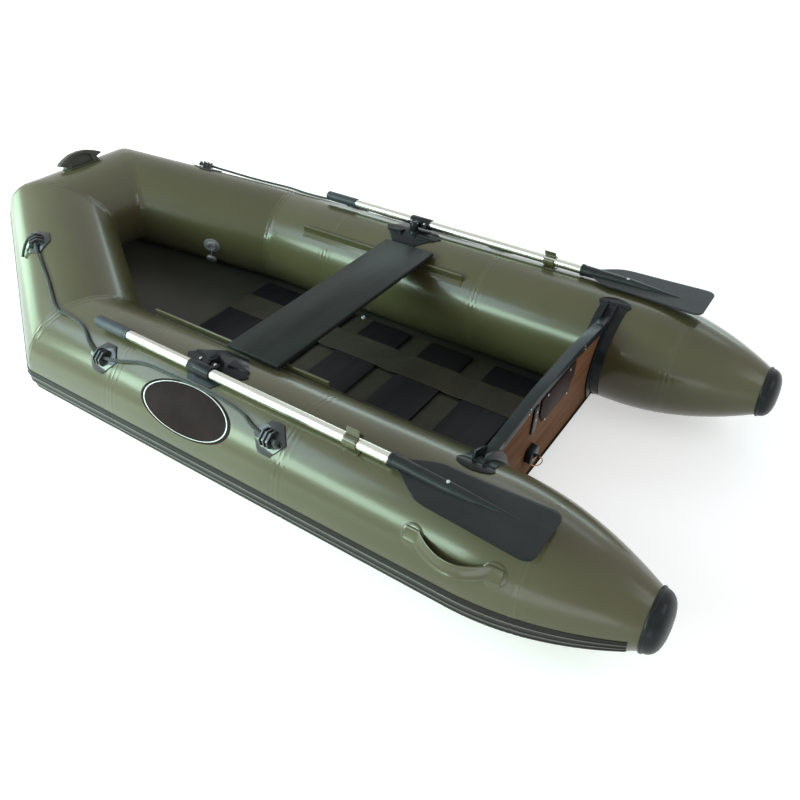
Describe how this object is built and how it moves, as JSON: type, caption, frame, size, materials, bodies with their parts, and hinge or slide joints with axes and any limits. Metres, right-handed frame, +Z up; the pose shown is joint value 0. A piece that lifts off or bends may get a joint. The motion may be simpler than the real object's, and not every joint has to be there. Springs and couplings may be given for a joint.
{
  "type": "inflatable boat",
  "caption": "Inflatable rowing boat with a raised bow, slatted floor, sliding bench, plywood transom with a motor pad, grab ropes, and oars stowed on its side tubes.",
  "frame": {"origin": "centre of the boat's footprint, on the ground", "axes": "+X toward the bow, +Y to port, +Z up"},
  "size_m": [2.6, 1.315, 0.5736],
  "materials": {
    "hull_fabric": "satin",
    "dark_fabric": "satin",
    "black_plastic": "satin",
    "slat_plywood": "matte",
    "floor_fabric": "matte",
    "bench_plywood": "satin",
    "transom_plywood": "satin",
    "pad_plastic": "satin",
    "grey_plastic": "satin",
    "grip_plastic": "satin",
    "aluminium": "satin",
    "copper_wire": "satin",
    "rope_cord": "matte"
  },
  "bodies": {
    "hull": {"bottom_skin": "dark_fabric", "bow_front_panel": "hull_fabric", "bow_handle": "dark_fabric", "drain_block": "black_plastic", "floor_mat": "floor_fabric", "floor_slat_1": "slat_plywood", "floor_slat_2": "slat_plywood", "floor_slat_3": "slat_plywood", "floor_slat_4": "slat_plywood", "floor_slat_5": "slat_plywood", "motor_pad": "pad_plastic", "pad_side_strip": "black_plastic", "rubbing_strake": "black_plastic", "starboard_bow_valve": "grey_plastic", "transom_board": "transom_plywood", "transom_trim": "dark_fabric", "port_aft_panel": "hull_fabric", "port_aft_rope_holder": "black_plastic", "port_bench_rail": "hull_fabric", "port_bow_panel": "hull_fabric", "port_bow_rope_holder": "black_plastic", "port_carry_handle": "hull_fabric", "port_chamber_baffle": "hull_fabric", "port_fore_panel": "hull_fabric", "port_fore_rope_holder": "black_plastic", "port_grab_rope": "rope_cord", "port_oar_clip": "hull_fabric", "port_oarlock_base": "black_plastic", "port_stern_cap": "black_plastic", "port_stern_cone": "hull_fabric", "port_transom_holder": "black_plastic", "starboard_aft_panel": "hull_fabric", "starboard_aft_rope_holder": "black_plastic", "starboard_bench_rail": "hull_fabric", "starboard_bow_panel": "hull_fabric", "starboard_bow_rope_holder": "black_plastic", "starboard_carry_handle": "hull_fabric", "starboard_chamber_baffle": "hull_fabric", "starboard_fore_panel": "hull_fabric", "starboard_fore_rope_holder": "black_plastic", "starboard_grab_rope": "rope_cord", "starboard_oar_clip": "hull_fabric", "starboard_oarlock_base": "black_plastic", "starboard_stern_cap": "black_plastic", "starboard_stern_cone": "hull_fabric", "starboard_transom_holder": "black_plastic"},
    "bench": {"bench_board": "bench_plywood", "port_bench_slider": "aluminium", "starboard_bench_slider": "aluminium"},
    "port_hub": {"port_oarlock_hub": "black_plastic"},
    "port_oar": {"port_oar_clamp": "black_plastic", "port_oar_shaft": "aluminium", "port_oar_grip": "grip_plastic", "port_oar_blade": "black_plastic"},
    "starboard_hub": {"starboard_oarlock_hub": "black_plastic"},
    "starboard_oar": {"starboard_oar_clamp": "black_plastic", "starboard_oar_shaft": "aluminium", "starboard_oar_grip": "grip_plastic", "starboard_oar_blade": "black_plastic"},
    "pull_ring": {"drain_ring": "copper_wire"}
  },
  "joints": [
    {"name": "bench_slide", "type": "slide", "parent": "hull", "child": "bench", "axis": [1, 0, 0], "range_m": [-0.15, 0.36]},
    {"name": "port_oar_swing", "type": "hinge", "parent": "hull", "child": "port_hub", "pos_m": [0.012, 0.46611, 0.38876], "axis": [0, -0.2079, -0.9781], "range_deg": [0, 110], "deforming": ["port_oar_clip"]},
    {"name": "port_oar_tilt", "type": "hinge", "parent": "port_hub", "child": "port_oar", "pos_m": [0.012, 0.46611, 0.38876], "axis": [0, 0.9781, -0.2079], "range_deg": [0, 5.5]},
    {"name": "starboard_oar_swing", "type": "hinge", "parent": "hull", "child": "starboard_hub", "pos_m": [0.012, -0.46611, 0.38876], "axis": [0, -0.2079, 0.9781], "range_deg": [0, 110], "deforming": ["starboard_oar_clip"]},
    {"name": "starboard_oar_tilt", "type": "hinge", "parent": "starboard_hub", "child": "starboard_oar", "pos_m": [0.012, -0.46611, 0.38876], "axis": [0, 0.9781, 0.2079], "range_deg": [0, 5.5]},
    {"name": "drain_ring_swing", "type": "hinge", "parent": "hull", "child": "pull_ring", "pos_m": [-0.7998, 0.12, 0.1525], "axis": [0, 1, 0], "range_deg": [0, 100]}
  ],
  "couplings": [
    {"joint": "port_oar_tilt", "follows": "port_oar_swing", "ratio": 0.05},
    {"joint": "starboard_oar_tilt", "follows": "starboard_oar_swing", "ratio": 0.05}
  ]
}
